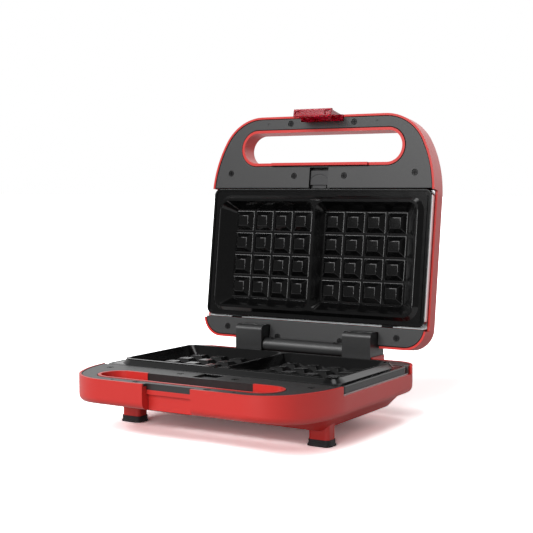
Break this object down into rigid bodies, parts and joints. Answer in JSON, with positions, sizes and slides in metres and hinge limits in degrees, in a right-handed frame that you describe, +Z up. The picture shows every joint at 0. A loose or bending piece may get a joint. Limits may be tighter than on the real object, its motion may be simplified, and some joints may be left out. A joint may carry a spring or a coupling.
{
  "type": "sandwich and waffle maker",
  "caption": "Countertop sandwich and waffle maker with a hinged lid, lift-out pegged plates, looped carrying handle and swinging latch.",
  "frame": {"origin": "middle of the open machine's bounding box, on the table under its feet", "axes": "+X to the right along the hinge, -Y towards the handle, +Z up; the lid is stored open"},
  "size_m": [0.265, 0.3071, 0.3099],
  "materials": {
    "red_housing": "glossy moulded red",
    "dark_cover": "fine satin texture",
    "bright_tray": "bright rolled",
    "heater_tube": "satin, heat tinted",
    "clip_steel": "zinc plated",
    "coated_plate": "glossy black non-stick coating on cast aluminium",
    "dark_button": "satin",
    "spring_steel": "bright wire",
    "screw_steel": "black zinc",
    "thermostat_can": "pressed can",
    "fuse_sleeve": "glass fibre sleeve",
    "terminal_white": "moulded nylon",
    "lead_sleeve": "silicone sleeve",
    "gland_rubber": "matt",
    "pin_steel": "ground",
    "foot_rubber": "matt",
    "red_lens": "clear tinted",
    "green_lens": "clear tinted",
    "board_green": "solder mask",
    "clear_red_latch": "clear crimson moulding"
  },
  "bodies": {
    "base": {"base_shell": "red_housing", "base_front_cover": "dark_cover", "base_rear_cover": "dark_cover", "base_tray": "bright_tray", "base_heater": "heater_tube", "base_heater_clips": "clip_steel", "base_button_spring": "spring_steel", "base_front_screws": "screw_steel", "base_rear_screws": "screw_steel", "thermostat": "thermostat_can", "thermal_fuse": "fuse_sleeve", "terminal_block": "terminal_white", "base_leads": "lead_sleeve", "cord_gland": "gland_rubber", "hinge_pin_left": "pin_steel", "hinge_pin_right": "pin_steel", "foot_pad_front_left": "foot_rubber", "foot_pad_front_right": "foot_rubber", "foot_pad_rear_left": "foot_rubber", "foot_pad_rear_right": "foot_rubber"},
    "base_grill_plate": {"base_plate": "coated_plate"},
    "base_button": {"base_release_button": "dark_button"},
    "lid": {"lid_shell": "red_housing", "lid_front_cover": "dark_cover", "lid_rear_cover": "dark_cover", "lid_tray": "bright_tray", "lid_heater": "heater_tube", "lid_heater_clips": "clip_steel", "lid_button_spring": "spring_steel", "lid_front_screws": "screw_steel", "lid_rear_screws": "screw_steel", "power_lamp": "red_lens", "ready_lamp": "green_lens", "lamp_board": "board_green", "latch_pin": "pin_steel"},
    "lid_grill_plate": {"lid_plate": "coated_plate"},
    "lid_button": {"lid_release_button": "dark_button"},
    "latch": {"latch": "clear_red_latch"}
  },
  "joints": [
    {"name": "lid_hinge", "type": "hinge", "parent": "base", "child": "lid", "pos_m": [0, 0.0925, 0.061], "axis": [-1, 0, 0], "range_deg": [-97.36, 0]},
    {"name": "latch_hinge", "type": "hinge", "parent": "lid", "child": "latch", "pos_m": [0, 0.14384, 0.29848], "axis": [-1, 0, 0], "range_deg": [-4.5, 60]},
    {"name": "base_plate_lift", "type": "slide", "parent": "base", "child": "base_grill_plate", "axis": [0, 0, 1], "range_m": [0, 0.03]},
    {"name": "lid_plate_lift", "type": "slide", "parent": "lid", "child": "lid_grill_plate", "axis": [0, -0.9918, 0.1281], "range_m": [0, 0.03]},
    {"name": "base_button_press", "type": "slide", "parent": "base", "child": "base_button", "axis": [0, -1, 0], "range_m": [0, 0.0026], "stiffness_N_per_m": 180, "springref_m": -0.004, "deforming": ["base_button_spring"]},
    {"name": "lid_button_press", "type": "slide", "parent": "lid", "child": "lid_button", "axis": [0, 0.1281, 0.9918], "range_m": [0, 0.0026], "stiffness_N_per_m": 180, "springref_m": -0.004, "deforming": ["lid_button_spring"]}
  ]
}
